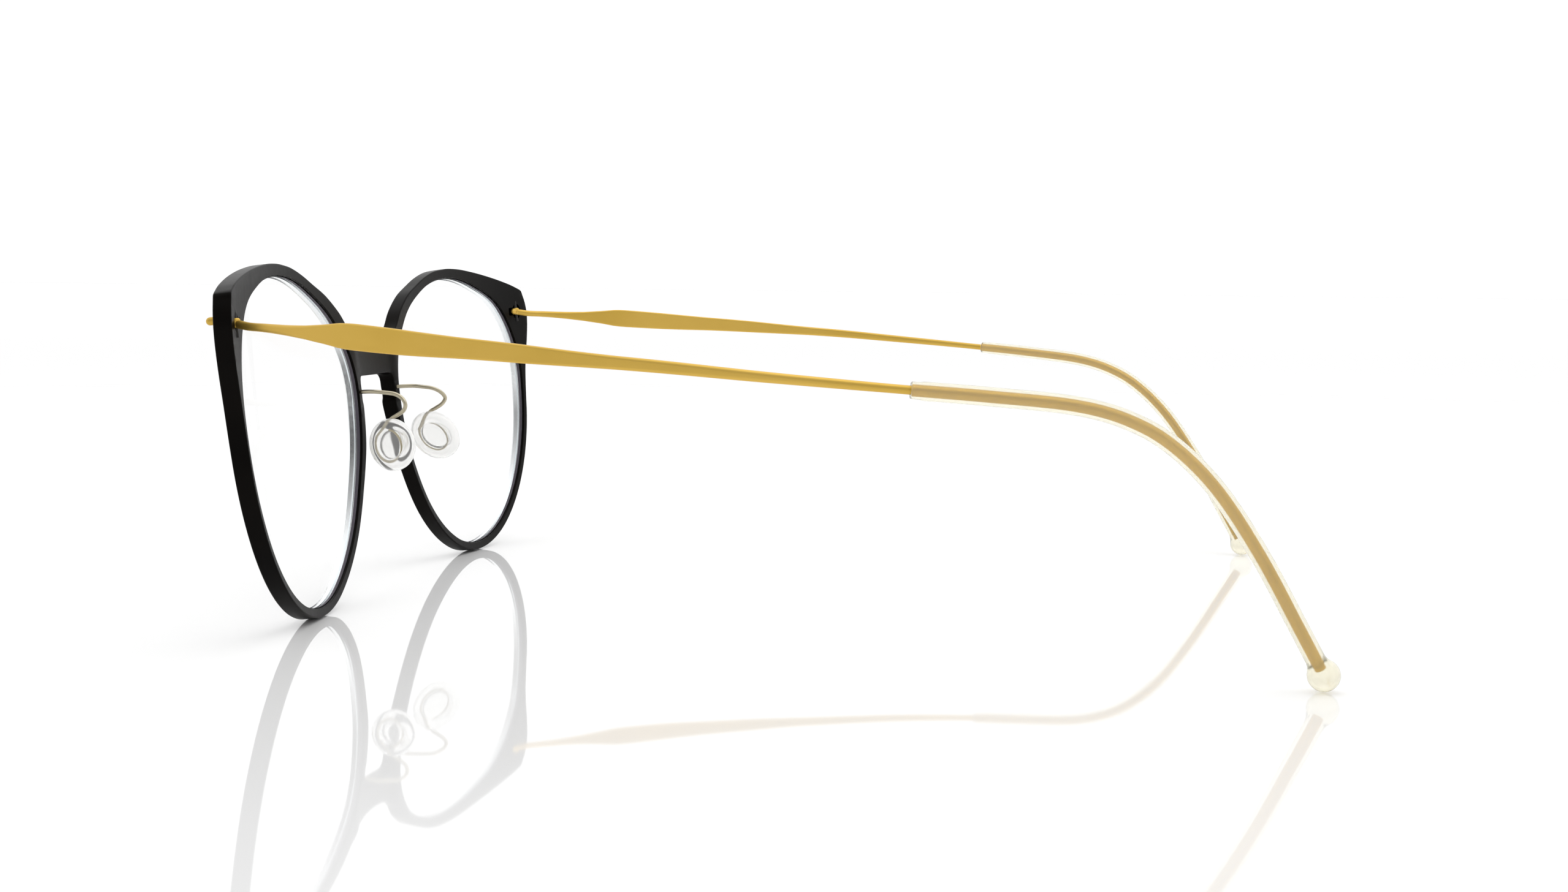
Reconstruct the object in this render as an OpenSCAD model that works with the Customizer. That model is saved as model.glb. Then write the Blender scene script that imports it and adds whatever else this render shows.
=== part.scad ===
/* [Front] */
// Distance between the centres of the two eyes
eye_spacing = 68; // [67:0.5:71]
// Depth of the front from back face to front face
front_depth = 2.3; // [2.1:0.1:2.8]
// Angle by which each eye wraps round the face
wrap_angle = 5.4; // [4:0.1:7]
// Angle by which the front leans forward at the top
lean_angle = 7.2; // [5:0.2:9]
// Radius of the front's curve across each eye
bow_radius = 158; // [130:2:240]
// Radius of the front's curve from top to bottom
crown_radius = 300; // [220:10:500]
// Height of the bridge in the middle
bridge_h = 5; // [4:0.5:6]
// How far the middle of the bridge stands forward of its ends
bridge_arch = 0.5; // [0.3:0.1:1.2]

/* [Lenses] */
// Thickness of each lens
lens_t = 1.7; // [1.2:0.1:2]
// Gap all round between the edge of a lens and the rim
lens_gap = 0.06; // [0.04:0.01:0.12]
// Depth of the groove in the rim
groove_d = 0.45; // [0.3:0.05:0.5]
// Width of the groove
groove_w = 0.5; // [0.4:0.05:0.7]

/* [Hinges] */
// Diameter of the hinge pin
pin_d = 0.6; // [0.5:0.05:0.7]
// Length of the hinge pin
pin_len = 3.6; // [3.2:0.1:4]
// Radial clearance between the pin and the eye of the temple
pin_clearance = 0.03; // [0.02:0.01:0.05]
// Diameter of the stud that shows on the front face
stud_d = 1; // [0.8:0.1:1.2]
// How far the stud stands out of the front face
stud_out = 1.1; // [0.8:0.1:1.8]

/* [Temples] */
// Diameter of the temple wire at the hinge and at the ear
wire_d = 1; // [0.9:0.05:1.2]
// Height of the blade behind the hinge, at its tallest
blade_h = 3.05; // [2.4:0.05:3.4]
// Thickness of the blade at the same place
blade_t = 0.9; // [0.7:0.05:1.1]
// Diameter of the sleeve
sleeve_d = 2.1; // [1.8:0.05:2.4]
// Diameter of the ball at the end of the sleeve
ball_d = 3.8; // [3.4:0.1:4.2]

/* [Nose pads] */
// Diameter of the wire of the nose arms
arm_d = 0.6; // [0.5:0.05:0.7]
// Height of each nose pad
pad_h = 8.4; // [8:0.2:9]
// Depth of each nose pad from front to back
pad_w = 7; // [6.6:0.2:8]
// Thickness of each nose pad round its wire
pad_t = 2.2; // [1.8:0.1:2.6]

/* [Hidden] */

// The glasses stand on the rims and on the ends of the sleeves, and look along -Y
eye_at = [eye_spacing / 2, -64.9, 23.82];

// Radii of the lens opening and of the rim, every 20 degrees from the temple side over the top
eye_radii = [25.5, 26.9, 26.5, 24.1, 22.8, 22.5, 23.1, 24.9, 26.2,
             24.8, 23.1, 22.4, 22.2, 22.5, 22.8, 23.2, 23.7, 24.4];
rim_radii = [26.6, 28.1, 27.8, 26.5, 24.4, 24.0, 24.7, 27.2, 28.7,
             26.5, 24.4, 23.6, 23.4, 23.7, 24.0, 24.4, 24.9, 25.6];

// Edge of the end piece, from the top of the rim round to its temple side
end_piece = [[2.6, 24.1], [7, 23.9], [13, 23.2], [19, 22.2], [24, 21.1], [26.7, 20.3],
             [27.8, 19.9], [28.15, 19.6], [28.4, 19.1], [29.1, 17.6], [29.5, 15.7], [29.4, 13.5],
             [28.8, 10.6], [27.6, 6.2], [26.8, 1.5]];

// Hinge pin in the eye's frame: out, back and up from the middle of the eye
pin_at = [25.9, 2.4, 16.1];
// The slot that the end of the temple swings in, measured from the pin
slot_in = 2.6;
slot_out = 0.9;
slot_h = 1.4;
slot_floor = 1.75;
// Round recess that lays the two ends of the pin bare
relief_d = 2.7;
relief_floor = 0.35;
// Eye of the temple round the pin, and its nose on the far side of the pin
eye_d = 1.3;
eye_h = 1.2;
nose_len = 1.6;
// The stud's place from the pin, and where its blind hole ends
stud_at = [1.7, -0.6, 0.5];

// Path of the temple from the hinge pin: out, back and up
temple_path = [[0, 0, 0], [1.05, 2.35, -0.38], [2.65, 5.35, -0.5], [5.55, 11.35, -0.85],
               [8.15, 17.35, -1.15], [12.15, 27.35, -1.8], [15.25, 37.35, -2.35],
               [17.35, 47.35, -3], [18.55, 57.35, -3.65], [18.75, 67.35, -4.45],
               [17.95, 76.35, -5.15], [16.45, 83.85, -5.75], [13.85, 92.35, -6.45],
               [10.55, 101.45, -7.45], [8.35, 107.35, -9.15], [6.35, 112.25, -12.05],
               [4.25, 117.25, -17.05], [2.15, 122.25, -24.45], [0.05, 126.85, -32.65],
               [-1.65, 130.05, -38.45]];
// Points of the path at which the sleeve begins and the wire inside it ends
sleeve_from = 11;
wire_to = 18.9;
last = len(temple_path) - 1;
// How much of the blade's height each point of the path has
blade_share = [0, 0.02, 0.05, 0.2, 0.97, 0.86, 0.56, 0.4, 0.18, 0.13, 0.06, 0, 0, 0, 0, 0, 0, 0, 0, 0];

// Path of the nose arm's wire from its root in the rim to the pad, from the middle of the eye
arm_path = [for (p = [[-26.2, -2.3, 5.2], [-26, -0.9, 5.4], [-25.4, 1.2, 5.5], [-25.5, 2.9, 5.4],
                      [-25.5, 4.5, 5.2], [-25.2, 5.7, 4.6], [-24.9, 6.3, 3.7], [-25.2, 5.9, 2.8],
                      [-25.3, 4.9, 2.1], [-25.3, 3.8, 1.4]])
               eye_at + p];
// Middle of the nose pad, and how far it is turned and tipped
pad_at = eye_at + [-24.3, 4.5, -2.2];
pad_splay = 11;
pad_slant = 18;
pad_roll = 38;
// Loop of the wire inside the pad, and how far its middle lies outside and in front of the pad's
loop_w = 4;
loop_h = 5.4;
loop_out = 0.4;
loop_fore = 0.5;

function unit(v) = v / norm(v);
function about_x(p, a) = [p[0], p[1] * cos(a) - p[2] * sin(a), p[1] * sin(a) + p[2] * cos(a)];
function about_y(p, a) = [p[0] * cos(a) + p[2] * sin(a), p[1], p[2] * cos(a) - p[0] * sin(a)];
function about_z(p, a) = [p[0] * cos(a) - p[1] * sin(a), p[0] * sin(a) + p[1] * cos(a), p[2]];

// Catmull-Rom curve between b and c
function between(a, b, c, d, t) =
    0.5 * (2 * b + (c - a) * t + (2 * a - 5 * b + 4 * c - d) * t * t
           + (3 * b - a - 3 * c + d) * t * t * t);
// Point at s along an open list, where whole numbers are the points of the list
function along(list, s) =
    let (n = len(list), i = max(0, min(floor(s), n - 2)))
    between(i == 0 ? 2 * list[0] - list[1] : list[i - 1], list[i], list[i + 1],
            i == n - 2 ? 2 * list[n - 1] - list[n - 2] : list[i + 2], s - i);
// Closed outline through radii that are spaced evenly round the circle
function outline(radii, grow) =
    let (n = len(radii))
    [for (i = [0 : n - 1], k = [0 : 3])
        let (a = (i + k / 4) * 360 / n,
             r = between(radii[(i + n - 1) % n], radii[i], radii[(i + 1) % n], radii[(i + 2) % n],
                         k / 4))
        (r + grow) * [cos(a), sin(a)]];

// One ring of a swept part: its place, the way it faces, half its width and half its height
function ring(place, facing, half_w, half_h, sides, power = 1) =
    let (side = unit([1, 0, 0] - facing[0] * facing), up = cross(side, facing))
    [for (i = [0 : sides - 1])
        let (a = (i + 0.5) * 360 / sides)
        place + side * half_w * sign(cos(a)) * pow(abs(cos(a)), power)
              + up * half_h * sign(sin(a)) * pow(abs(sin(a)), power)];
function facing(list, s) = unit(along(list, s + 0.02) - along(list, s - 0.02));

// Closed solid through a list of rings that all have the same number of sides
module skin(rings) {
    sides = len(rings[0]);
    count = len(rings);
    points = [for (r = rings, p = r) p];
    ends = [[for (j = [sides - 1 : -1 : 0]) j],
            [for (j = [0 : sides - 1]) (count - 1) * sides + j]];
    walls = [for (i = [0 : count - 2], j = [0 : sides - 1])
                let (a = i * sides + j, b = i * sides + (j + 1) % sides)
                each [[a, b, a + sides], [b, b + sides, a + sides]]];
    polyhedron(points, concat(ends, walls));
}

module on_side(side) {
    mirror([side == "right" ? 1 : 0, 0, 0])
        children();
}

// The eye's frame has its origin in the middle of the lens opening, on the back face
module at_eye() {
    translate(eye_at)
        rotate([lean_angle, 0, 0])
            rotate([0, 0, wrap_angle])
                children();
}

function from_eye(p) = eye_at + about_x(about_z(p, wrap_angle), lean_angle);
hinge_at = from_eye(pin_at);
hinge_axis = about_x([0, 0, 1], lean_angle);

// Curved slice of the front between two depths below its back face
module slice(from, to) {
    half_h = 28;
    heights = [-half_h : 4 : half_h];
    function sag(v) = v * v / (2 * crown_radius);
    translate([0, bow_radius, 0])
        rotate([0, 0, -104])
            rotate_extrude(angle = 28, $fn = 360)
                polygon(concat([for (v = heights) [bow_radius + from - sag(v), v]],
                               [for (v = heights) [bow_radius + to - sag(v), -v]]));
}

// Prism along the depth of the front
module through(points) {
    translate([0, 15, 0])
        rotate([90, 0, 0])
            linear_extrude(30)
                polygon(points);
}

groove_from = (front_depth - groove_w) / 2;

module rim() {
    edge = [for (s = [0 : 1/3 : len(end_piece) - 1]) along(end_piece, s)];
    intersection() {
        slice(0, front_depth);
        union() {
            through(outline(rim_radii, 0));
            through(concat([[0, 0]], edge));
        }
    }
}

module lens_opening() {
    through(outline(eye_radii, 0));
    intersection() {
        through(outline(eye_radii, groove_d));
        slice(groove_from, groove_from + groove_w);
    }
}

// Slot and round recess for the hinge, the seats of its pin and the hole of its stud
module hinge_cuts() {
    translate(pin_at) {
        translate([-slot_in, -slot_floor, -slot_h / 2])
            cube([slot_in + slot_out, 5, slot_h]);
        translate([0, -relief_floor, 0])
            rotate([-90, 0, 0])
                cylinder(d = relief_d, h = 5, $fn = 48);
        cylinder(d = pin_d, h = pin_len, center = true, $fn = 32);
        translate(stud_at)
            rotate([90, 0, 0])
                cylinder(d = stud_d, h = 5, $fn = 32);
    }
}

// The bridge in the leaning plane of the front: an arched band cut to its front view
module bridge() {
    half_w = eye_spacing / 2 - 24.7;
    saddle = 12.3;
    arc = [for (x = [-half_w : half_w / 8 : half_w + 0.1])
              [x, -0.3 - bridge_arch * (1 - pow(x / half_w, 2))]];
    fore = [for (i = [len(arc) - 1 : -1 : 0]) arc[i] - [0, front_depth]];
    translate([0, eye_at[1], eye_at[2]])
        rotate([lean_angle, 0, 0])
            intersection() {
                linear_extrude(20)
                    polygon(concat(arc, fore));
                rotate([90, 0, 0])
                    linear_extrude(20, center = true)
                        difference() {
                            translate([-half_w, 4])
                                square([2 * half_w, saddle - 2]);
                            translate([0, saddle + 24])
                                circle(24, $fn = 120);
                            translate([0, saddle - bridge_h - 5])
                                bridge_notch(half_w - 2.4, 5.5, 0.9);
                        }
            }
}

// Notch under the bridge, with two round corners at the top
module bridge_notch(half_w, h, r) {
    translate([-half_w, 0])
        square([2 * half_w, h - r]);
    translate([r - half_w, 0])
        square([2 * (half_w - r), h]);
    for (x = [r - half_w, half_w - r])
        translate([x, h - r])
            circle(r, $fn = 48);
}

// Hole in the rim for the straight end of the nose arm
module arm_hole() {
    root = arm_path[0];
    toward = unit(arm_path[1] - root);
    translate(root)
        rotate([0, acos(toward[2]), atan2(toward[1], toward[0])])
            cylinder(d = arm_d, h = 2.5, $fn = 32);
}

module front_frame() {
    color("#26231f")
        difference() {
            union() {
                bridge();
                for (side = ["left", "right"])
                    on_side(side)
                        at_eye()
                            rim();
            }
            for (side = ["left", "right"])
                on_side(side) {
                    at_eye() {
                        lens_opening();
                        hinge_cuts();
                    }
                    arm_hole();
                }
        }
}

// Clear lens with a tongue round its edge that sits in the rim's groove
module lens(side) {
    inset = (front_depth - lens_t) / 2;
    color([0.92, 0.95, 0.96, 0.35])
        on_side(side)
            at_eye() {
                intersection() {
                    through(outline(eye_radii, -lens_gap));
                    slice(inset, inset + lens_t);
                }
                intersection() {
                    through(outline(eye_radii, groove_d - lens_gap));
                    slice(groove_from, groove_from + groove_w);
                }
            }
}

module hinge_pin(side) {
    color("#6d6a66")
        on_side(side)
            at_eye()
                translate(pin_at)
                    cylinder(d = pin_d, h = pin_len, center = true, $fn = 32);
}

// Round-ended stud pressed into a blind hole beside the slot, which shows on the front face
module hinge_stud(side) {
    out = pin_at[0] + stud_at[0];
    up = pin_at[2] + stud_at[2];
    face = out * out / (2 * bow_radius) + up * up / (2 * crown_radius) - front_depth;
    straight = pin_at[1] + stud_at[1] - face + stud_out - stud_d / 2;
    color("#c9a04a")
        on_side(side)
            at_eye()
                translate(pin_at + stud_at)
                    rotate([90, 0, 0])
                        rotate_extrude($fn = 32)
                            polygon(concat([[0, 0], [stud_d / 2, 0]],
                                           [for (a = [0 : 15 : 90])
                                               [stud_d / 2 * cos(a), straight + stud_d / 2 * sin(a)]]));
}

function temple_ring(s) =
    let (share = max(0, along(blade_share, s)), w = wire_d + share * (blade_t - wire_d),
         h = wire_d + share * (blade_h - wire_d))
    ring(hinge_at + along(temple_path, s), facing(temple_path, s), w / 2, h / 2, 12,
         1 - 0.4 * min(1, 3 * share));

// Titanium wire flattened into a blade, with an eye for the pin at its front end
module temple(side) {
    stations = concat([0.15, 0.5], [for (s = [1 : 1/3 : wire_to]) s], [wire_to]);
    color("#c9a04a")
        on_side(side)
            difference() {
                union() {
                    skin([for (s = stations) temple_ring(s)]);
                    hinge_barrel(eye_d, eye_h);
                    temple_nose();
                }
                hinge_barrel(pin_d + 2 * pin_clearance, 3 * eye_h);
            }
}

module hinge_barrel(d, h) {
    translate(hinge_at)
        rotate([lean_angle, 0, 0])
            cylinder(d = d, h = h, center = true, $fn = 32);
}

// Rounded nose of the temple, which lies in the slot on the inner side of the pin
module temple_nose() {
    r = wire_d / 2;
    translate(hinge_at)
        rotate([lean_angle, 0, 0])
            rotate([0, -90, wrap_angle])
                rotate_extrude($fn = 32)
                    polygon([[0, 0], [r, 0], [r, 0.7], [0.9 * r, 1.05], [0.66 * r, 1.35],
                             [0.3 * r, 1.55], [0, nose_len]]);
}

function sleeve_ring(s, d) =
    ring(hinge_at + along(temple_path, s), facing(temple_path, s), d / 2, d / 2, 12);

// Silicone sleeve: the bore first, from the end of the wire to the mouth, then the outside
module sleeve(side) {
    bore = concat([wire_to], [for (s = [18 + 2/3 : -1/3 : sleeve_from - 0.1]) s]);
    tube = [for (s = [sleeve_from + 1/3 : 1/3 : wire_to]) s];
    end = hinge_at + temple_path[last];
    way = facing(temple_path, last - 0.1);
    color([0.95, 0.93, 0.9, 0.5])
        on_side(side)
            skin(concat([for (s = bore) sleeve_ring(s, wire_d)],
                        [sleeve_ring(sleeve_from, sleeve_d - 0.2)],
                        [sleeve_ring(sleeve_from + 0.12, sleeve_d - 0.2)],
                        [sleeve_ring(sleeve_from + 0.16, sleeve_d)],
                        [for (s = tube) sleeve_ring(s, sleeve_d + 0.025 * (s - sleeve_from))],
                        [for (a = [-48 : 12 : 84])
                            ring(end + way * ball_d / 2 * sin(a), way,
                                 ball_d / 2 * cos(a), ball_d / 2 * cos(a), 12)]));
}

function from_pad(p) = pad_at + about_z(about_y(about_x(p, pad_roll), -pad_slant), -pad_splay);

// Wire of the nose arm: out of the rim, round the back and once round inside the pad
module nose_arm(side) {
    loop = [for (a = [110 : 20 : 410])
               from_pad([loop_out, loop_w / 2 * cos(a) - loop_fore, loop_h / 2 * sin(a)])];
    path = concat(arm_path, loop);
    color("#b8923f")
        on_side(side)
            skin([for (s = [0 : 0.5 : len(path) - 1]) wire_ring(path, s)]);
}

// Ring for a wire that may run any way: its side is square to the pad's fore-and-aft plane
function wire_ring(path, s) =
    let (way = facing(path, s), out = unit(from_pad([1, 0, 0]) - pad_at),
         side = unit(out - (out * way) * way), up = cross(side, way))
    [for (a = [22.5 : 45 : 360]) along(path, s) + arm_d / 2 * (side * cos(a) + up * sin(a))];

// Oval silicone pad, thick round its wire and thin in the middle
module nose_pad(side) {
    face = [[0.02, 0.36], [0.4, 0.38], [0.52, 0.8], [0.68, 1], [0.84, 0.9], [0.96, 0.5], [1, 0]];
    profile = concat(face, [for (i = [len(face) - 2 : -1 : 0]) [face[i][0], -face[i][1]]]);
    color([0.95, 0.95, 0.93, 0.5])
        on_side(side)
            difference() {
                skin([for (p = profile)
                         [for (a = [0 : 15 : 345])
                             from_pad([p[1] * pad_t / 2, p[0] * pad_w / 2 * cos(a),
                                       p[0] * pad_h / 2 * sin(a)])]]);
                nose_arm("left");
            }
}

front_frame();
lens("left");  // lens_left
lens("right");  // lens_right
hinge_pin("left");  // hinge_pin_left
hinge_pin("right");  // hinge_pin_right
hinge_stud("left");  // hinge_stud_left
hinge_stud("right");  // hinge_stud_right
temple("left");  // temple_left
temple("right");  // temple_right
sleeve("left");  // sleeve_left
sleeve("right");  // sleeve_right
nose_arm("left");  // nose_arm_left
nose_arm("right");  // nose_arm_right
nose_pad("left");  // nose_pad_left
nose_pad("right");  // nose_pad_right
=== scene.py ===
import math

import bmesh
import bpy
from mathutils import Matrix, Vector
from mathutils.geometry import delaunay_2d_cdt


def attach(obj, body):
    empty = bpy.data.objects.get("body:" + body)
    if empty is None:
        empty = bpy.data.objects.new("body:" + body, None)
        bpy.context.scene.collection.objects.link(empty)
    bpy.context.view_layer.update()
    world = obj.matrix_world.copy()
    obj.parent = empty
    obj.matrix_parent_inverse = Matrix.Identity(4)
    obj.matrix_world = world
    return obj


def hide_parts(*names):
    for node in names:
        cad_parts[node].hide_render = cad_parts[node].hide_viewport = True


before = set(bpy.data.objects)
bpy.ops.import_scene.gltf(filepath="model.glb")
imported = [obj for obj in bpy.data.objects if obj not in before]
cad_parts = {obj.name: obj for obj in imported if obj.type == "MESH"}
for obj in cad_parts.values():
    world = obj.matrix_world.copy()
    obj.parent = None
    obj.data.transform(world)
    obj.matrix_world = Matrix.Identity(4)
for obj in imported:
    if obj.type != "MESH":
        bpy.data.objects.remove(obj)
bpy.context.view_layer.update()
MM = 0.001


# ---------------------------------------------------------------- camera
def place_camera():
    yaw, pitch, roll = (math.radians(a) for a in (8.6, 4.75, 0.61))
    ahead = Vector((-math.cos(yaw) * math.cos(pitch), -math.sin(yaw) * math.cos(pitch), -math.sin(pitch)))
    right = ahead.cross(Vector((0, 0, 1))).normalized()
    up = right.cross(ahead)
    right, up = (
        math.cos(roll) * right + math.sin(roll) * up,
        math.cos(roll) * up - math.sin(roll) * right,
    )
    data = bpy.data.cameras.new("camera")
    data.lens = 44.69
    data.sensor_width = 36
    data.clip_start = 0.01
    data.clip_end = 20
    cam = bpy.data.objects.new("camera", data)
    bpy.context.collection.objects.link(cam)
    turn = Matrix((right, up, -ahead)).transposed()
    cam.matrix_world = Matrix.Translation((0.28406, 0.03952, 0.04581)) @ turn.to_4x4()
    bpy.context.scene.camera = cam


# ---------------------------------------------------------------- materials
def material(name, base, **sockets):
    """A Principled material; sockets are named as in the node, with _ for spaces."""
    mat = bpy.data.materials.new(name)
    mat.use_nodes = True
    shader = mat.node_tree.nodes["Principled BSDF"]
    shader.inputs["Base Color"].default_value = (*base, 1)
    for key, value in sockets.items():
        shader.inputs[key.replace("_", " ")].default_value = value
    return mat


def add(mat, kind, **values):
    node = mat.node_tree.nodes.new(kind)
    for key, value in values.items():
        if key in node.inputs:
            node.inputs[key].default_value = value
        else:
            setattr(node, key, value)
    return node


def link(mat, a, out, b, into):
    mat.node_tree.links.new(a.outputs[out], b.inputs[into])


def grain(mat, scale, stretch, bump, rough):
    """Fine grain: a stretched noise drives a small bump, and the roughness between two values."""
    shader = mat.node_tree.nodes["Principled BSDF"]
    where = add(mat, "ShaderNodeTexCoord")
    scaled = add(mat, "ShaderNodeMapping")
    scaled.inputs["Scale"].default_value = stretch
    noise = add(mat, "ShaderNodeTexNoise", Scale=scale, Detail=5.0, Roughness=0.6)
    ramp = add(mat, "ShaderNodeMapRange")
    ramp.inputs["To Min"].default_value = rough[0]
    ramp.inputs["To Max"].default_value = rough[1]
    height = add(mat, "ShaderNodeBump", Strength=bump, Distance=0.00002)
    link(mat, where, "Object", scaled, "Vector")
    link(mat, scaled, "Vector", noise, "Vector")
    link(mat, noise, "Fac", ramp, "Value")
    link(mat, ramp, "Result", shader, "Roughness")
    link(mat, noise, "Fac", height, "Height")
    link(mat, height, "Normal", shader, "Normal")


def tint(mat, scale, dark, light):
    """Slow colour drift between two colours."""
    shader = mat.node_tree.nodes["Principled BSDF"]
    where = add(mat, "ShaderNodeTexCoord")
    noise = add(mat, "ShaderNodeTexNoise", Scale=scale, Detail=3.0)
    ramp = add(mat, "ShaderNodeValToRGB")
    ramp.color_ramp.elements[0].position = 0.35
    ramp.color_ramp.elements[0].color = (*dark, 1)
    ramp.color_ramp.elements[1].position = 0.65
    ramp.color_ramp.elements[1].color = (*light, 1)
    link(mat, where, "Object", noise, "Vector")
    link(mat, noise, "Fac", ramp, "Fac")
    link(mat, ramp, "Color", shader, "Base Color")


def cloud(mat, clear, hazy):
    """Less clear where the surface turns away, as soft moulded edges are."""
    shader = mat.node_tree.nodes["Principled BSDF"]
    weight = add(mat, "ShaderNodeLayerWeight", Blend=0.4)
    ramp = add(mat, "ShaderNodeMapRange")
    for key, value in (("From Min", 0.25), ("From Max", 0.95), ("To Min", clear), ("To Max", hazy)):
        ramp.inputs[key].default_value = value
    link(mat, weight, "Facing", ramp, "Value")
    link(mat, ramp, "Result", shader, "Transmission Weight")


def make_materials():
    black = material("satin_black", (0.004, 0.0035, 0.003), IOR=1.5, Specular_IOR_Level=0.04,
                     Specular_Tint=(1, 0.93, 0.87, 1))
    grain(black, 900.0, (1, 1, 1), 0.25, (0.26, 0.36))
    tint(black, 90.0, (0.002, 0.0018, 0.0017), (0.0045, 0.0038, 0.0032))
    gold = material("satin_gold", (0.68, 0.44, 0.08), Metallic=0.7, Specular_IOR_Level=0.3)
    grain(gold, 700.0, (1, 0.08, 1), 0.2, (0.4, 0.52))
    tint(gold, 60.0, (0.65, 0.42, 0.073), (0.71, 0.465, 0.095))
    arm = material("dull_gold", (0.5, 0.45, 0.33), Metallic=1.0)
    grain(arm, 900.0, (1, 1, 1), 0.2, (0.28, 0.4))
    steel = material("dark_steel", (0.035, 0.034, 0.033), Metallic=1.0)
    grain(steel, 900.0, (1, 1, 1), 0.1, (0.25, 0.4))
    lens = material("clear_lens", (1, 1, 1), IOR=1.03, Transmission_Weight=1.0)
    grain(lens, 40.0, (1, 1, 1), 0.0, (0.0, 0.004))
    edge = material("polished_edge", (0.93, 0.95, 0.96), Metallic=1.0)
    grain(edge, 1500.0, (1, 1, 1), 0.1, (0.12, 0.25))
    # Painted shade: a dark material for the band of the lens edge behind the groove, standing in for the
    # shaded gap between the lens and the rim's back lip
    tongue = material("lens_tongue", (0.1, 0.09, 0.11), Specular_IOR_Level=0.3)
    grain(tongue, 1500.0, (1, 1, 1), 0.3, (0.5, 0.7))
    silicone = material("milky_silicone", (1, 0.955, 0.79), IOR=1.32, Subsurface_Weight=1.0,
                        Subsurface_Radius=(1, 1, 0.9), Subsurface_Scale=0.002)
    grain(silicone, 300.0, (1, 1, 1), 0.1, (0.14, 0.24))
    cloud(silicone, 0.86, 0.4)
    pad = material("pad_silicone", (1, 1, 0.98), IOR=1.25, Subsurface_Weight=1.0,
                   Subsurface_Radius=(1, 1, 1), Subsurface_Scale=0.002)
    grain(pad, 300.0, (1, 1, 1), 0.1, (0.08, 0.16))
    cloud(pad, 0.82, 0.3)
    return dict(black=black, gold=gold, arm=arm, steel=steel, lens=lens, edge=edge, tongue=tongue,
                silicone=silicone, pad=pad)


# ---------------------------------------------------------------- shape helpers, in millimetres
def cos_deg(angle):
    return math.cos(math.radians(angle))


def sin_deg(angle):
    return math.sin(math.radians(angle))


def between(a, b, c, d, t):
    return 0.5 * (2 * b + (c - a) * t + (2 * a - 5 * b + 4 * c - d) * t**2 + (3 * b - a - 3 * c + d) * t**3)


def along(points, s):
    """Point at s along an open list, where whole numbers are the points of the list."""
    n = len(points)
    i = max(0, min(math.floor(s), n - 2))
    before = points[i - 1] if i else 2 * points[0] - points[1]
    after = points[i + 2] if i < n - 2 else 2 * points[n - 1] - points[n - 2]
    return between(before, points[i], points[i + 1], after, s - i)


def spread(points, steps):
    """A curve through an open list, steps pieces between each two points."""
    n = len(points)
    return [along(points, i / steps) for i in range((n - 1) * steps + 1)]


def radius_at(radii, angle):
    n = len(radii)
    s = (angle % 360) / 360 * n
    i = math.floor(s)
    return between(radii[i - 1], radii[i % n], radii[(i + 1) % n], radii[(i + 2) % n], s - i)


def polar(radii, angle, grow=0.0):
    r = radius_at(radii, angle) + grow
    return r * cos_deg(angle), r * sin_deg(angle)


def turn_x(p, a):
    c, s = cos_deg(a), sin_deg(a)
    return Vector((p[0], p[1] * c - p[2] * s, p[1] * s + p[2] * c))


def turn_y(p, a):
    c, s = cos_deg(a), sin_deg(a)
    return Vector((p[0] * c + p[2] * s, p[1], p[2] * c - p[0] * s))


def turn_z(p, a):
    c, s = cos_deg(a), sin_deg(a)
    return Vector((p[0] * c - p[1] * s, p[0] * s + p[1] * c, p[2]))


def face_outwards(mesh):
    bm = bmesh.new()
    bm.from_mesh(mesh)
    bmesh.ops.recalc_face_normals(bm, faces=bm.faces)
    bm.to_mesh(mesh)
    bm.free()


def make_object(name, verts, faces, mats, slots=None, side=1, sharp=35):
    """A smooth-shaded mesh object from millimetres; side -1 mirrors it across X."""
    mesh = bpy.data.meshes.new(name)
    mesh.from_pydata([(v[0] * side * MM, v[1] * MM, v[2] * MM) for v in verts], [], faces)
    for m in mats:
        mesh.materials.append(m)
    if slots:
        mesh.polygons.foreach_set("material_index", slots)
    face_outwards(mesh)
    mesh.shade_smooth()
    mesh.set_sharp_from_angle(angle=math.radians(sharp))
    obj = bpy.data.objects.new(name, mesh)
    bpy.context.collection.objects.link(obj)
    return obj


def skin(rings, closed=False):
    """Vertices and faces of a tube through rings with the same number of points."""
    sides = len(rings[0])
    verts = [p for ring in rings for p in ring]
    faces = []
    count = len(rings)
    for i in range(count if closed else count - 1):
        for j in range(sides):
            a, b = i * sides + j, i * sides + (j + 1) % sides
            c, d = (b + sides) % len(verts), (a + sides) % len(verts)
            faces.append((a, b, c, d))
    if not closed:
        faces.append(tuple(reversed(range(sides))))
        faces.append(tuple((count - 1) * sides + j for j in range(sides)))
    return verts, faces


# ---------------------------------------------------------------- the front
EYE = Vector((34, -64.9, 23.82))
LEAN, WRAP = 7.2, 5.4
BOW, CROWN = 158.0, 300.0
DEPTH = 2.3
# Radii of the opening and of the rim, every 20 degrees from the temple side over the top
EYE_RADII = (25.5, 26.9, 26.5, 24.1, 22.8, 22.5, 23.1, 24.9, 26.2,
             24.8, 23.1, 22.4, 22.2, 22.5, 22.8, 23.2, 23.7, 24.4)
RIM_RADII = (26.6, 28.1, 27.8, 26.5, 24.4, 24.0, 24.7, 27.2, 28.7,
             26.5, 24.4, 23.6, 23.4, 23.7, 24.0, 24.4, 24.9, 25.6)
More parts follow.
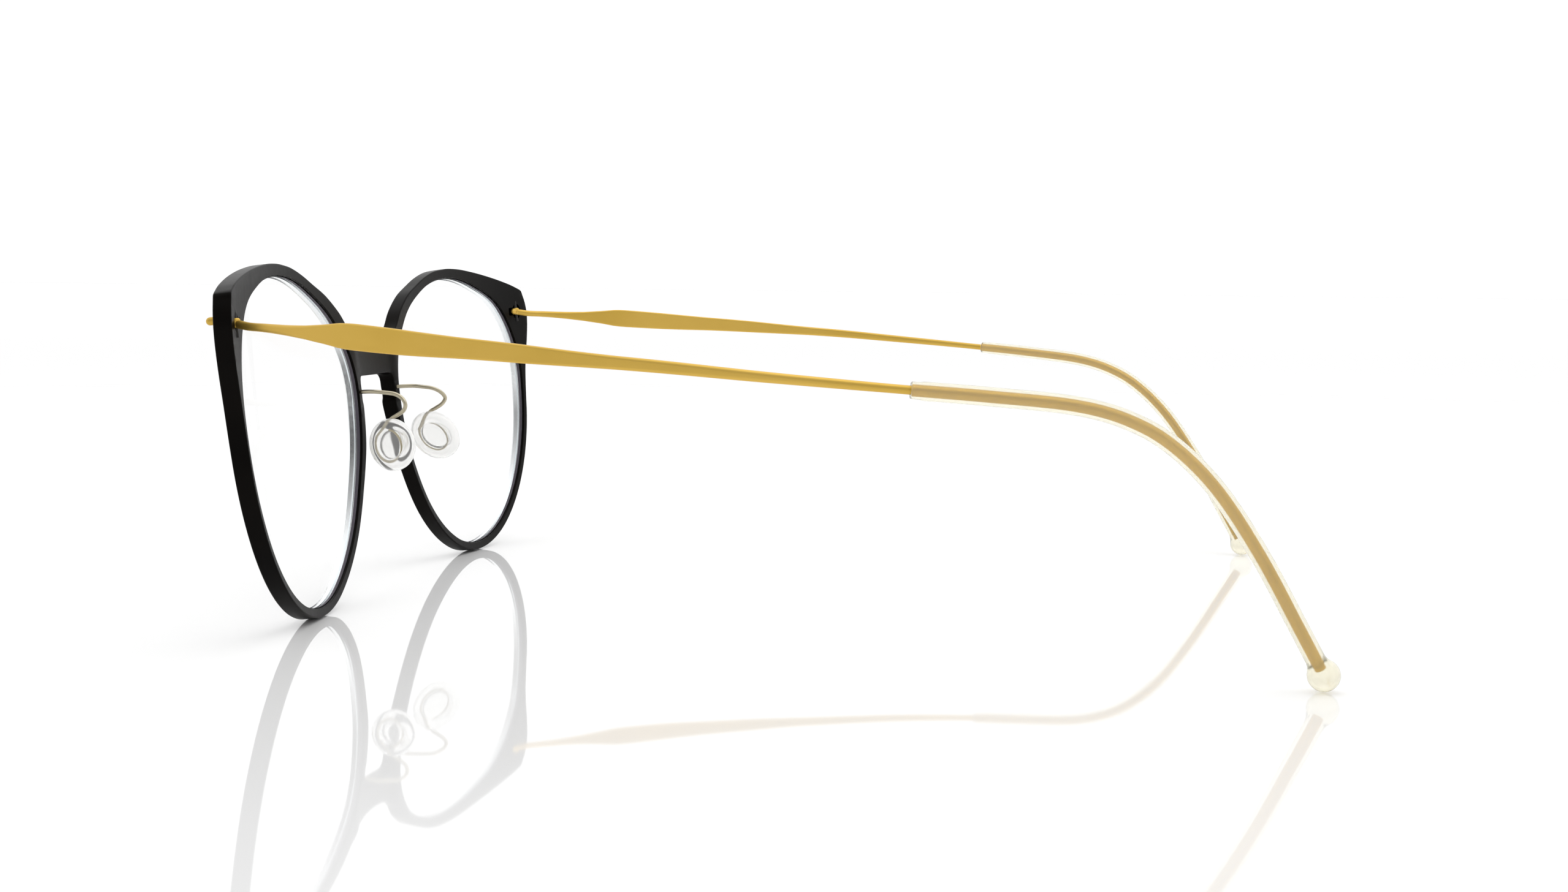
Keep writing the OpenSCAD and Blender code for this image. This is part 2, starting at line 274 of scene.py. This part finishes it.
# Edge of the end piece in the eye's frame; top of the bridge and notch under it from the middle outwards
END_PIECE = (
    (2.6, 24.1), (7, 23.9), (13, 23.2), (19, 22.2), (24, 21.1), (26.7, 20.3), (27.8, 19.9), (28.15, 19.6),
    (28.4, 19.1), (29.1, 17.6), (29.5, 15.7), (29.4, 13.5), (28.8, 10.6), (27.6, 6.2), (26.8, 1.5),
)
SADDLE = ((0, 12.3), (3, 12.45), (6, 13), (8.5, 14.1), (10.5, 15.3))
NOTCH = ((7.05, 4.2), (6.92, 5.8), (6.88, 6.8), (6.5, 7.5), (5.7, 7.78), (3, 7.8), (0, 7.8))
PIN = Vector((25.9, 2.4, 16.1))
# The arched middle of the bridge: half its width, and how far its ends and its middle stand forward
BRIDGE_HALF, BRIDGE_FORE, BRIDGE_ARCH = 9.3, 0.3, 0.5
# The rims blend into the bridge over this much width, starting this far from the middle
BLEND_FROM, BLEND_WIDTH = 6.3, 3.2
# Groove round each opening, as distances into the rim and depths below its back face
GROOVE = ((0, 0.9), (0.45, 0.92), (0.45, 1.38), (0, 1.4))
# Hinge slot and round recess, measured from the pin: the middle of each corner's arc and its first angle
SLOT_CORNERS = ((0.6, 0.4, 0), (-2.3, 0.4, 90), (-2.3, -0.4, 180), (0.6, -0.4, 270))
SLOT_CORNER_R, SLOT_FLOOR = 0.3, -1.75
RECESS_R, RECESS_FLOOR = 1.35, -0.35


def sag(u, v, depth):
    """How far behind the middle of the eye the front lies at (u, v), at a depth below its back face."""
    return BOW - math.sqrt((BOW + depth - v * v / (2 * CROWN)) ** 2 - u * u)


def from_eye(p):
    return EYE + turn_x(turn_z(p, WRAP), LEAN)


def plane_of(u, v):
    """The eye's (u, v) on the back face, seen square to the leaning plane of the front."""
    return EYE.x + turn_z((u, sag(u, v, 0), v), WRAP).x, v


def front_point(x, v, depth):
    """A point of the front: the curved rims on each side, blended into the arch of the bridge."""
    side = -1 if x < 0 else 1
    x = abs(x)
    u = x - EYE.x
    for _ in range(4):
        u += (x - plane_of(u, v)[0]) / cos_deg(WRAP)
    rim = turn_z((u, sag(u, v, depth), v), WRAP) + Vector((EYE.x, 0, 0))
    arch = Vector((x, -BRIDGE_FORE - BRIDGE_ARCH * (1 - (x / BRIDGE_HALF) ** 2) - depth, v))
    t = min(1, max(0, (x - BLEND_FROM) / BLEND_WIDTH))
    t = t * t * (3 - 2 * t)
    p = rim * t + arch * (1 - t)
    p = turn_x(p, LEAN) + Vector((0, EYE.y, EYE.z))
    return Vector((p.x * side, p.y, p.z))


def outer_loop():
    """The whole outline of the front in its leaning plane, counter-clockwise from the top middle."""
    half = [Vector(p) for p in SADDLE]
    half += [Vector(plane_of(*polar(RIM_RADII, a))) for a in (140, 130, 120, 110, 100, 91)]
    half += [Vector(plane_of(*p)) for p in END_PIECE]
    half += [Vector(plane_of(*polar(RIM_RADII, a))) for a in range(-6, -187, -9)]
    half += [Vector(p) for p in NOTCH]
    half = spread(half, 5)
    mirrored = [Vector((-p.x, p.y)) for p in half[1:-1]]
    return [half[0]] + mirrored + [half[-1]] + list(reversed(half[1:-1]))


def eye_loop(side):
    angles = [i * 2.5 for i in range(144)]
    pts = [Vector(plane_of(*polar(EYE_RADII, a))) for a in angles]
    if side < 0:
        pts = [Vector((-p.x, p.y)) for p in reversed(pts)]
    return pts


def inset(loop, d):
    """The loop moved d to its left, which is into the polygon when it runs counter-clockwise."""
    n = len(loop)
    out = []
    for i in range(n):
        way = (loop[(i + 1) % n] - loop[i - 1]).normalized()
        out.append(loop[i] + Vector((-way.y, way.x)) * d)
    return out


def edge_profile(r, groove=()):
    """(distance into the material, depth) down a wall with both edges rounded to r."""
    steps = 4
    angles = [i * math.pi / 2 / steps for i in range(steps + 1)]
    turn = [(r * (1 - math.sin(a)), r * (1 - math.cos(a))) for a in angles]
    back = [(o, DEPTH - d) for o, d in reversed(turn)]
    return turn + list(groove) + back


def inside(p, loop):
    """Whether p lies in the loop, by counting the edges that a line from p crosses."""
    hit = False
    for i in range(len(loop)):
        a, b = loop[i - 1], loop[i]
        if (a.y > p.y) != (b.y > p.y) and p.x < (b.x - a.x) * (p.y - a.y) / (b.y - a.y) + a.x:
            hit = not hit
    return hit


def on_sheet(p, outer, holes):
    return inside(p, outer) and not any(inside(p, hole) for hole in holes)


def wall_rings(loops, verts, faces):
    """Adds the walls of the front; returns each wall's first edge and where its two edges start in verts."""
    rims = []
    for loop, way, profile in loops:
        n = len(loop)
        start = len(verts)
        for offset, depth in profile:
            verts += [front_point(p.x, p.y, depth) for p in inset(loop, offset * way)]
        for k in range(len(profile) - 1):
            for j in range(n):
                a, b = start + k * n + j, start + k * n + (j + 1) % n
                quad = (a, a + n, b + n, b)
                faces.append(quad if way > 0 else tuple(reversed(quad)))
        rims.append((inset(loop, profile[0][0] * way), start, start + (len(profile) - 1) * n))
    return rims


def grid_points(edge_points, outer, holes):
    """A grid inside the sheet that keeps clear of its edges, so that the sheet can follow the curve."""
    pitch, row, clear = 1.0, 0.9, 0.7
    out = []
    for i in range(-64, 65):
        for j in range(-26, 27):
            p = Vector((pitch * (i + 0.5 * (j % 2)), j * row))
            if all((p - q).length > clear for q in edge_points) and on_sheet(p, outer, holes):
                out.append(p)
    return out


def add_sheets(rims, verts, faces):
    """Adds the back and front faces, as one triangulation between the edges of the walls."""
    flat, ids_back, ids_front, edges = [], [], [], []
    for loop, first, last in rims:
        n = len(loop)
        base = len(flat)
        flat += loop
        ids_back += range(first, first + n)
        ids_front += range(last, last + n)
        edges += [(base + j, base + (j + 1) % n) for j in range(n)]
    outer, holes = rims[0][0], [rim[0] for rim in rims[1:]]
    grid = grid_points(flat, outer, holes)
    flat = flat + grid
    for p in grid:
        ids_back.append(len(verts))
        verts.append(front_point(p.x, p.y, 0))
        ids_front.append(len(verts))
        verts.append(front_point(p.x, p.y, DEPTH))
    sheet = delaunay_2d_cdt(flat, edges, [], 0, 1e-6)
    source = [origin[0] for origin in sheet[3]]
    for f in sheet[2]:
        f = [source[i] for i in f]
        mid = sum((flat[i] for i in f), Vector((0, 0))) / 3
        if on_sheet(mid, outer, holes):
            area = (flat[f[1]] - flat[f[0]]).cross(flat[f[2]] - flat[f[0]])
            f = f if area > 0 else f[::-1]
            faces.append(tuple(ids_back[i] for i in reversed(f)))
            faces.append(tuple(ids_front[i] for i in f))


def make_front(mats):
    """Both rims, the bridge and the end pieces as one shell, with the hinge slots cut out of it."""
    outer_round, inner_round = 0.22, 0.1
    loops = [(outer_loop(), 1, edge_profile(outer_round))]
    loops += [(eye_loop(side), -1, edge_profile(inner_round, GROOVE)) for side in (1, -1)]
    verts, faces = [], []
    rims = wall_rings(loops, verts, faces)
    add_sheets(rims, verts, faces)
    obj = make_object("front_shell", verts, faces, [mats["black"]])
    for side in (1, -1):
        for cutter in hinge_cutters(side):
            cut(obj, cutter)
    obj.data.set_sharp_from_angle(angle=math.radians(35))
    return weigh(obj)


def weigh(obj):
    """Shades flat faces flat right up to their rounded edges."""
    weighted = obj.modifiers.new("weighted", "WEIGHTED_NORMAL")
    weighted.keep_sharp = True
    return obj


def cut(obj, cutter):
    """Takes the cutter out of the object's mesh for good."""
    step = obj.modifiers.new("cut", "BOOLEAN")
    step.operation = "DIFFERENCE"
    step.solver = "EXACT"
    step.object = cutter
    bpy.context.view_layer.update()
    evaluated = obj.evaluated_get(bpy.context.evaluated_depsgraph_get())
    mesh = bpy.data.meshes.new_from_object(evaluated)
    obj.modifiers.remove(step)
    old = obj.data
    obj.data = mesh
    bpy.data.meshes.remove(old)
    bpy.data.objects.remove(cutter)


def hinge_cutters(side):
    """Prisms for the slot and for the round recess, along the depth of the eye's frame."""
    slot = [(cx + SLOT_CORNER_R * cos_deg(start + a), cz + SLOT_CORNER_R * sin_deg(start + a))
            for cx, cz, start in SLOT_CORNERS for a in (0, 30, 60, 90)]
    recess = [(RECESS_R * cos_deg(7.5 * i), RECESS_R * sin_deg(7.5 * i)) for i in range(48)]
    out = []
    for name, ring, floor in (("slot_cutter", slot, SLOT_FLOOR), ("recess_cutter", recess, RECESS_FLOOR)):
        verts, faces = skin([[from_eye(PIN + Vector((x, y, z))) for x, z in ring] for y in (floor, 3)])
        out.append(make_object(name, verts, faces, [], side=side))
    return out


# ---------------------------------------------------------------- lenses
def make_lens(name, side, mats):
    """Clear lens with a polished edge: both faces follow the curve of the front."""
    gap, back, fore = 0.04, 0.32, 2.2
    count = 144
    shares = [0.15, 0.3, 0.45, 0.6, 0.75, 0.87, 0.95]
    profile = [(-gap - 0.1, back), (-gap, back + 0.1), (-gap, 0.92), (0.38, 0.94), (0.38, 1.36), (-gap, 1.38),
               (-gap, fore - 0.1), (-gap - 0.1, fore)]
    rings = []
    for k in shares:
        rings.append((k, 0, back))
    for grow, depth in profile:
        rings.append((1, grow, depth))
    for k in reversed(shares):
        rings.append((k, 0, fore))
    verts, faces, slots = [], [], []
    for k, grow, depth in rings:
        for i in range(count):
            u, v = polar(EYE_RADII, i * 360 / count, grow)
            u, v = u * k, v * k
            verts.append(from_eye((u, sag(u, v, depth), v)))
    # Material of each band of the edge, from back to front: 1 polished, 2 dark painted shade for the gap
    # behind the rim's back lip
    edge = {len(shares) + i: slot for i, slot in enumerate((1, 2, 1, 1, 1, 1, 1))}
    for r in range(len(rings) - 1):
        for j in range(count):
            a, b = r * count + j, r * count + (j + 1) % count
            faces.append((a, a + count, b + count, b))
            slots.append(edge.get(r, 0))
    for ring, depth, flip in ((0, back, False), (len(rings) - 1, fore, True)):
        verts.append(from_eye((0, sag(0, 0, depth), 0)))
        for j in range(count):
            tri = (ring * count + j, ring * count + (j + 1) % count, len(verts) - 1)
            faces.append(tri[::-1] if flip else tri)
            slots.append(0)
    return make_object(name, verts, faces, [mats["lens"], mats["edge"], mats["tongue"]], slots, side, 30)


# ---------------------------------------------------------------- temples and sleeves
# Path of the temple from the hinge pin: out, back and up
TEMPLE = [Vector(p) for p in (
    (0, 0, 0), (1.05, 2.35, -0.38), (2.65, 5.35, -0.5), (5.55, 11.35, -0.85), (8.15, 17.35, -1.15),
    (12.15, 27.35, -1.8), (15.25, 37.35, -2.35), (17.35, 47.35, -3), (18.55, 57.35, -3.65),
    (18.75, 67.35, -4.45), (17.95, 76.35, -5.15), (16.45, 83.85, -5.75), (13.85, 92.35, -6.45),
    (10.55, 101.45, -7.45), (8.35, 107.35, -9.15), (6.35, 112.25, -12.05), (4.25, 117.25, -17.05),
    (2.15, 122.25, -24.45), (0.05, 126.85, -32.65), (-1.65, 130.05, -38.45),
)]
# The nose of the temple, which lies in the slot on the inner side of the pin, and the bend round the pin
NOSE = ((-1.6, 0, 0), (-1.1, 0, 0), (-0.6, 0, 0), (-0.1, 0.05, -0.05), (0.37, 0.75, -0.28))
WIRE_D, BLADE_T = 1.0, 0.9
SLEEVE_FROM, WIRE_TO = 11, 18.9
# Height of the temple by distance behind the hinge
HEIGHTS = ((0, 1.06), (1.5, 1.03), (3.5, 1.0), (6, 1.1), (8.5, 1.28), (11.3, 1.65), (14.3, 2.3),
           (16.7, 3.0), (18.1, 3.1), (20.5, 3.08), (24.5, 2.95), (28.8, 2.68), (32.8, 2.4), (40.5, 2.1),
           (47.5, 1.7), (51.5, 1.52), (61.5, 1.32), (71.5, 1.14), (81.5, 1.0), (140, 1.0))


def height_at(y):
    for (y0, h0), (y1, h1) in zip(HEIGHTS, HEIGHTS[1:]):
        if y <= y1:
            t = (y - y0) / (y1 - y0)
            return h0 + (h1 - h0) * t
    return HEIGHTS[-1][1]


def facing(points, s):
    return (along(points, s + 0.02) - along(points, s - 0.02)).normalized()


def round_ring(place, way, d, sides, out=Vector((1, 0, 0))):
    side = (out - out.dot(way) * way).normalized()
    up = side.cross(way)
    angles = [2 * math.pi * (i + 0.5) / sides for i in range(sides)]
    return [place + (side * math.cos(a) + up * math.sin(a)) * d / 2 for a in angles]


def blade_ring(place, way, w, h, corner):
    """A rounded rectangle across the wire; a full corner makes it round."""
    side = (Vector((1, 0, 0)) - way.x * way).normalized()
    up = side.cross(way)
    pts = []
    for sx, sz, start in ((1, 1, 0), (-1, 1, 90), (-1, -1, 180), (1, -1, 270)):
        for k in range(6):
            across = sx * (w / 2 - corner) + corner * cos_deg(start + 18 * k)
            above = sz * (h / 2 - corner) + corner * sin_deg(start + 18 * k)
            pts.append(place + side * across + up * above)
    return pts


def make_temple(name, side, mats):
    """The wire from its rounded nose, round the bend at the pin, through the blade and back to the ear."""
    hinge = from_eye(PIN)
    route = [hinge + turn_x(turn_z(p, WRAP), LEAN) for p in NOSE] + [hinge + p for p in TEMPLE[1:]]
    extra = len(NOSE) - 1
    stations = [0.02, 0.08, 0.18, 0.35, 0.6, 0.9, 1.25, 1.6]
    stations += [2 + i / 8 for i in range(int((WIRE_TO + extra - 2) * 8) + 1)]
    rings = []
    for s in stations:
        place = along(route, s)
        h = height_at(place.y - hinge.y)
        share = min(1, max(0, (h - 1.15) / 0.9))
        w = WIRE_D + (BLADE_T - WIRE_D) * share
        corner = min(w, h) / 2 * 0.985 * (1 - share) + 0.26 * share
        k = math.sqrt(1 - (1 - min(1, s / 2)) ** 2)
        rings.append(blade_ring(place, facing(route, s), w * k, h * k, corner * k))
    v, f = skin(rings)
    barrel = make_barrel(hinge)
    base = len(v)
    v += barrel[0]
    f += [tuple(base + i for i in q) for q in barrel[1]]
    return weigh(make_object(name, v, f, [mats["gold"]], side=side, sharp=50))


def make_barrel(hinge):
    """The eye round the pin: a short tube with rounded ends, which the unbored wire runs through."""
    outer, bore, half, r = 0.65, 0.33, 0.6, 0.28
    angles = [i * math.pi / 10 for i in range(6)]
    turn = [(outer - r + r * math.sin(a), half - r + r * math.cos(a)) for a in angles]
    profile = [(bore, half)] + turn + [(x, -z) for x, z in reversed(turn)] + [(bore, -half)]
    sides = 40
    rings = []
    for i in range(sides):
        a = 2 * math.pi * i / sides
        rings.append([hinge + turn_x((x * math.cos(a), x * math.sin(a), z), LEAN) for x, z in profile])
    return skin(rings, closed=True)


def make_sleeve(name, side, mats):
    """Milky sleeve with a ball end: a solid with no bore of its own, and the wire lies inside it."""
    hinge = from_eye(PIN)
    sides, ball_r = 32, 1.9

    def at(s):
        return hinge + along(TEMPLE, s), facing(TEMPLE, s)

    rings = [round_ring(*at(SLEEVE_FROM), d, sides) for d in (1.1, 1.75)]
    rings += [round_ring(*at(SLEEVE_FROM + ds), d, sides)
              for ds, d in ((0.01, 1.88), (0.03, 1.92), (0.1, 1.93), (0.13, 1.96), (0.16, 2.05), (0.2, 2.1))]
    last = len(TEMPLE) - 1
    s = SLEEVE_FROM + 0.3
    while s < 18.55:
        rings.append(round_ring(*at(s), 2.1 + 0.025 * (s - SLEEVE_FROM), sides))
        s += 0.125
    end, way = hinge + TEMPLE[last], facing(TEMPLE, last - 0.1)
    for t in (0, 0.2, 0.4, 0.6, 0.8):
        rings.append(round_ring(end + way * (1.3 * t - 2.4), way, 2.3 + 0.8 * t * t, sides))
    for a in range(-35, 86, 6):
        rings.append(round_ring(end + way * ball_r * sin_deg(a), way, 2 * ball_r * cos_deg(a), sides))
    v, f = skin(rings)
    return make_object(name, v, f, [mats["silicone"]], side=side, sharp=60)


# ---------------------------------------------------------------- nose arms and pads
# Wire of the nose arm from its root in the rim to the pad, from the middle of the eye
ARM = [EYE + Vector(p) for p in (
    (-26.2, -2.3, 5.2), (-26, -0.9, 5.4), (-25.4, 1.2, 5.5), (-25.5, 2.9, 5.4), (-25.5, 4.5, 5.2),
    (-25.2, 5.7, 4.6), (-24.9, 6.3, 3.7), (-25.2, 5.9, 2.8), (-25.3, 4.9, 2.1), (-25.3, 3.8, 1.4),
)]
PAD = EYE + Vector((-24.3, 4.5, -2.2))
SPLAY, SLANT, ROLL = 11, 18, 38
LOOP_W, LOOP_H, LOOP_OUT, LOOP_FORE = 4.0, 5.4, 0.4, 0.5
PAD_W, PAD_H, PAD_T = 7.0, 8.4, 2.2
ARM_D, LOOP_D = 0.6, 0.32


def from_pad(p):
    return PAD + turn_z(turn_y(turn_x(p, ROLL), -SLANT), -SPLAY)


def make_arm(name, side, mats):
    """The wire from the rim to the pad, and thinner once round inside the pad."""
    loop = [from_pad((LOOP_OUT, LOOP_W / 2 * cos_deg(a) - LOOP_FORE, LOOP_H / 2 * sin_deg(a)))
            for a in range(110, 411, 15)]
    path = ARM + loop
    out = (from_pad((1, 0, 0)) - PAD).normalized()
    rings = []
    steps = (len(path) - 1) * 5
    for i in range(steps + 1):
        s = i / 5
        thin = min(1, max(0, (s - len(ARM) + 2) / 2))
        rings.append(round_ring(along(path, s), facing(path, s), ARM_D - (ARM_D - LOOP_D) * thin, 16, out))
    way = facing(path, len(path) - 1)
    for a in (30, 60, 82):
        tip = path[-1] + way * LOOP_D / 2 * sin_deg(a)
        rings.append(round_ring(tip, way, LOOP_D * cos_deg(a), 16, out))
    v, f = skin(rings)
    return make_object(name, v, f, [mats["arm"]], side=side, sharp=60)


def make_pad(name, side, mats):
    """Clear oval pad, thick round the wire and thin in the middle; the wire's loop lies inside the solid."""
    face = [(0.0, 0.3), (0.3, 0.31), (0.5, 0.36), (0.56, 0.48), (0.61, 0.7), (0.67, 0.9), (0.74, 1.0),
            (0.82, 0.97), (0.89, 0.84), (0.95, 0.6), (0.985, 0.3), (1.0, 0.0)]
    profile = face + [(r, -x) for r, x in reversed(face[:-1])]
    sides = 72
    rings = []
    for r, x in profile:
        r = max(r, 0.01)
        rings.append([from_pad((x * PAD_T / 2, r * PAD_W / 2 * math.cos(a), r * PAD_H / 2 * math.sin(a)))
                      for a in [2 * math.pi * i / sides for i in range(sides)]])
    v, f = skin(rings)
    return make_object(name, v, f, [mats["pad"]], side=side, sharp=60)


# ---------------------------------------------------------------- studio
def make_studio():
    """White for the camera and near the horizon; above that, the reflected light falls off to +X."""
    world = bpy.data.worlds.new("studio")
    bpy.context.scene.world = world
    world.use_nodes = True
    tree = world.node_tree
    back = tree.nodes["Background"]
    where = tree.nodes.new("ShaderNodeTexCoord")
    split = tree.nodes.new("ShaderNodeSeparateXYZ")
    fall = tree.nodes.new("ShaderNodeMapRange")
    fall.interpolation_type = "SMOOTHSTEP"
    for key, value in (("From Min", 0.1), ("From Max", 0.9), ("To Min", 1.15), ("To Max", 0.4)):
        fall.inputs[key].default_value = value
    path = tree.nodes.new("ShaderNodeLightPath")
    pick = tree.nodes.new("ShaderNodeMix")
    pick.inputs["B"].default_value = 1.1
    tree.links.new(where.outputs["Generated"], split.inputs["Vector"])
    tree.links.new(split.outputs["X"], fall.inputs["Value"])
    tree.links.new(path.outputs["Is Camera Ray"], pick.inputs["Factor"])
    rise = tree.nodes.new("ShaderNodeMapRange")
    for key, value in (("From Min", 0.04), ("From Max", 0.3), ("To Min", 0.0), ("To Max", 1.0)):
        rise.inputs[key].default_value = value
    level = tree.nodes.new("ShaderNodeMix")
    level.inputs["A"].default_value = 1.0
    tree.links.new(split.outputs["Z"], rise.inputs["Value"])
    tree.links.new(rise.outputs["Result"], level.inputs["Factor"])
    tree.links.new(fall.outputs["Result"], level.inputs["B"])
    tree.links.new(level.outputs["Result"], pick.inputs["A"])
    tree.links.new(pick.outputs["Result"], back.inputs["Strength"])
    back.inputs["Color"].default_value = (1, 1, 1, 1)

    light = bpy.data.lights.new("softbox", "AREA")
    light.energy = 1.5
    light.shape = "RECTANGLE"
    light.size, light.size_y = 0.9, 0.7
    lamp = bpy.data.objects.new("softbox", light)
    bpy.context.collection.objects.link(lamp)
    lamp.location = (-0.1, 0.15, 0.9)
    lamp.rotation_euler = (Vector((0, 0, 0)) - lamp.location).to_track_quat("-Z", "Y").to_euler()

    bpy.ops.mesh.primitive_plane_add(size=30, location=(0, 0, -0.00002))
    floor = bpy.context.object
    floor.name = "floor"
    mat = material("white_table", (0.93, 0.93, 0.93), Roughness=0.03, IOR=1.45)
    floor.data.materials.append(mat)
    bpy.context.scene.view_settings.view_transform = "Standard"


# ---------------------------------------------------------------- assembly
def fit(obj, node, body):
    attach(obj, body)
    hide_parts(node)


place_camera()
mats = make_materials()
make_studio()
fit(make_front(mats), "front_frame", "front")
for word, side in (("left", 1), ("right", -1)):
    fit(make_lens("lens_clear_" + word, side, mats), "lens_" + word, "front")
    fit(make_temple("temple_wire_" + word, side, mats), "temple_" + word, word + "_side")
    fit(make_sleeve("sleeve_clear_" + word, side, mats), "sleeve_" + word, word + "_side")
    fit(make_arm("arm_wire_" + word, side, mats), "nose_arm_" + word, "front")
    fit(make_pad("pad_clear_" + word, side, mats), "nose_pad_" + word, "front")
    for node, mat in (("hinge_pin_", "steel"), ("hinge_stud_", "gold")):
        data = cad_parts[node + word].data
        data.materials.clear()
        data.materials.append(mats[mat])
        data.shade_smooth()
